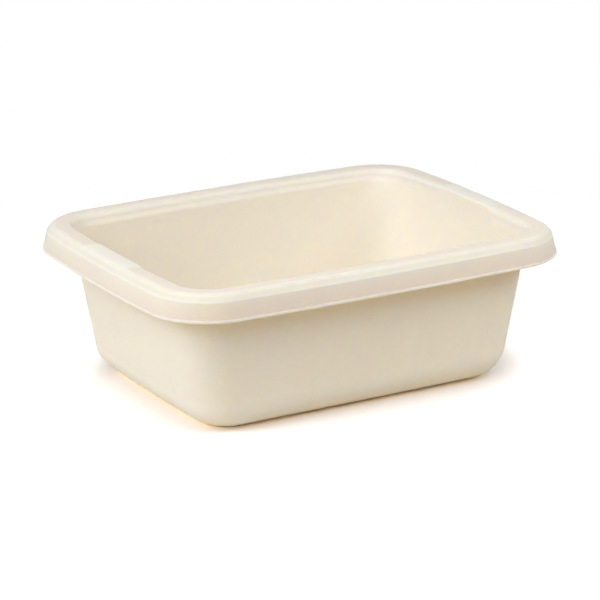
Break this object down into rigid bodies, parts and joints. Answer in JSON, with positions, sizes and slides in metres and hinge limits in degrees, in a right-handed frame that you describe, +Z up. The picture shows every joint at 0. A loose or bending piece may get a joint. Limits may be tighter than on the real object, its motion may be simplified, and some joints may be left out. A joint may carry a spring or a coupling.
{
  "type": "plastic washing-up basin",
  "caption": "Rectangular open-topped basin with rounded corners, tapered walls, a turned-down hollow rim with hand-holds, and a flat recessed base for washing up or carrying water.",
  "frame": {"origin": "on the surface the basin stands on, under the middle of its plan", "axes": "+X along the long sides, towards the short side on the right of the picture; +Y across, towards the long side at the back; +Z up out of the mouth"},
  "size_m": [0.38, 0.3, 0.13],
  "materials": {
    "cream_polypropylene": "satin moulded polypropylene, warm cream, slightly translucent"
  },
  "bodies": {
    "root": {"basin": "cream_polypropylene"}
  },
  "joints": []
}
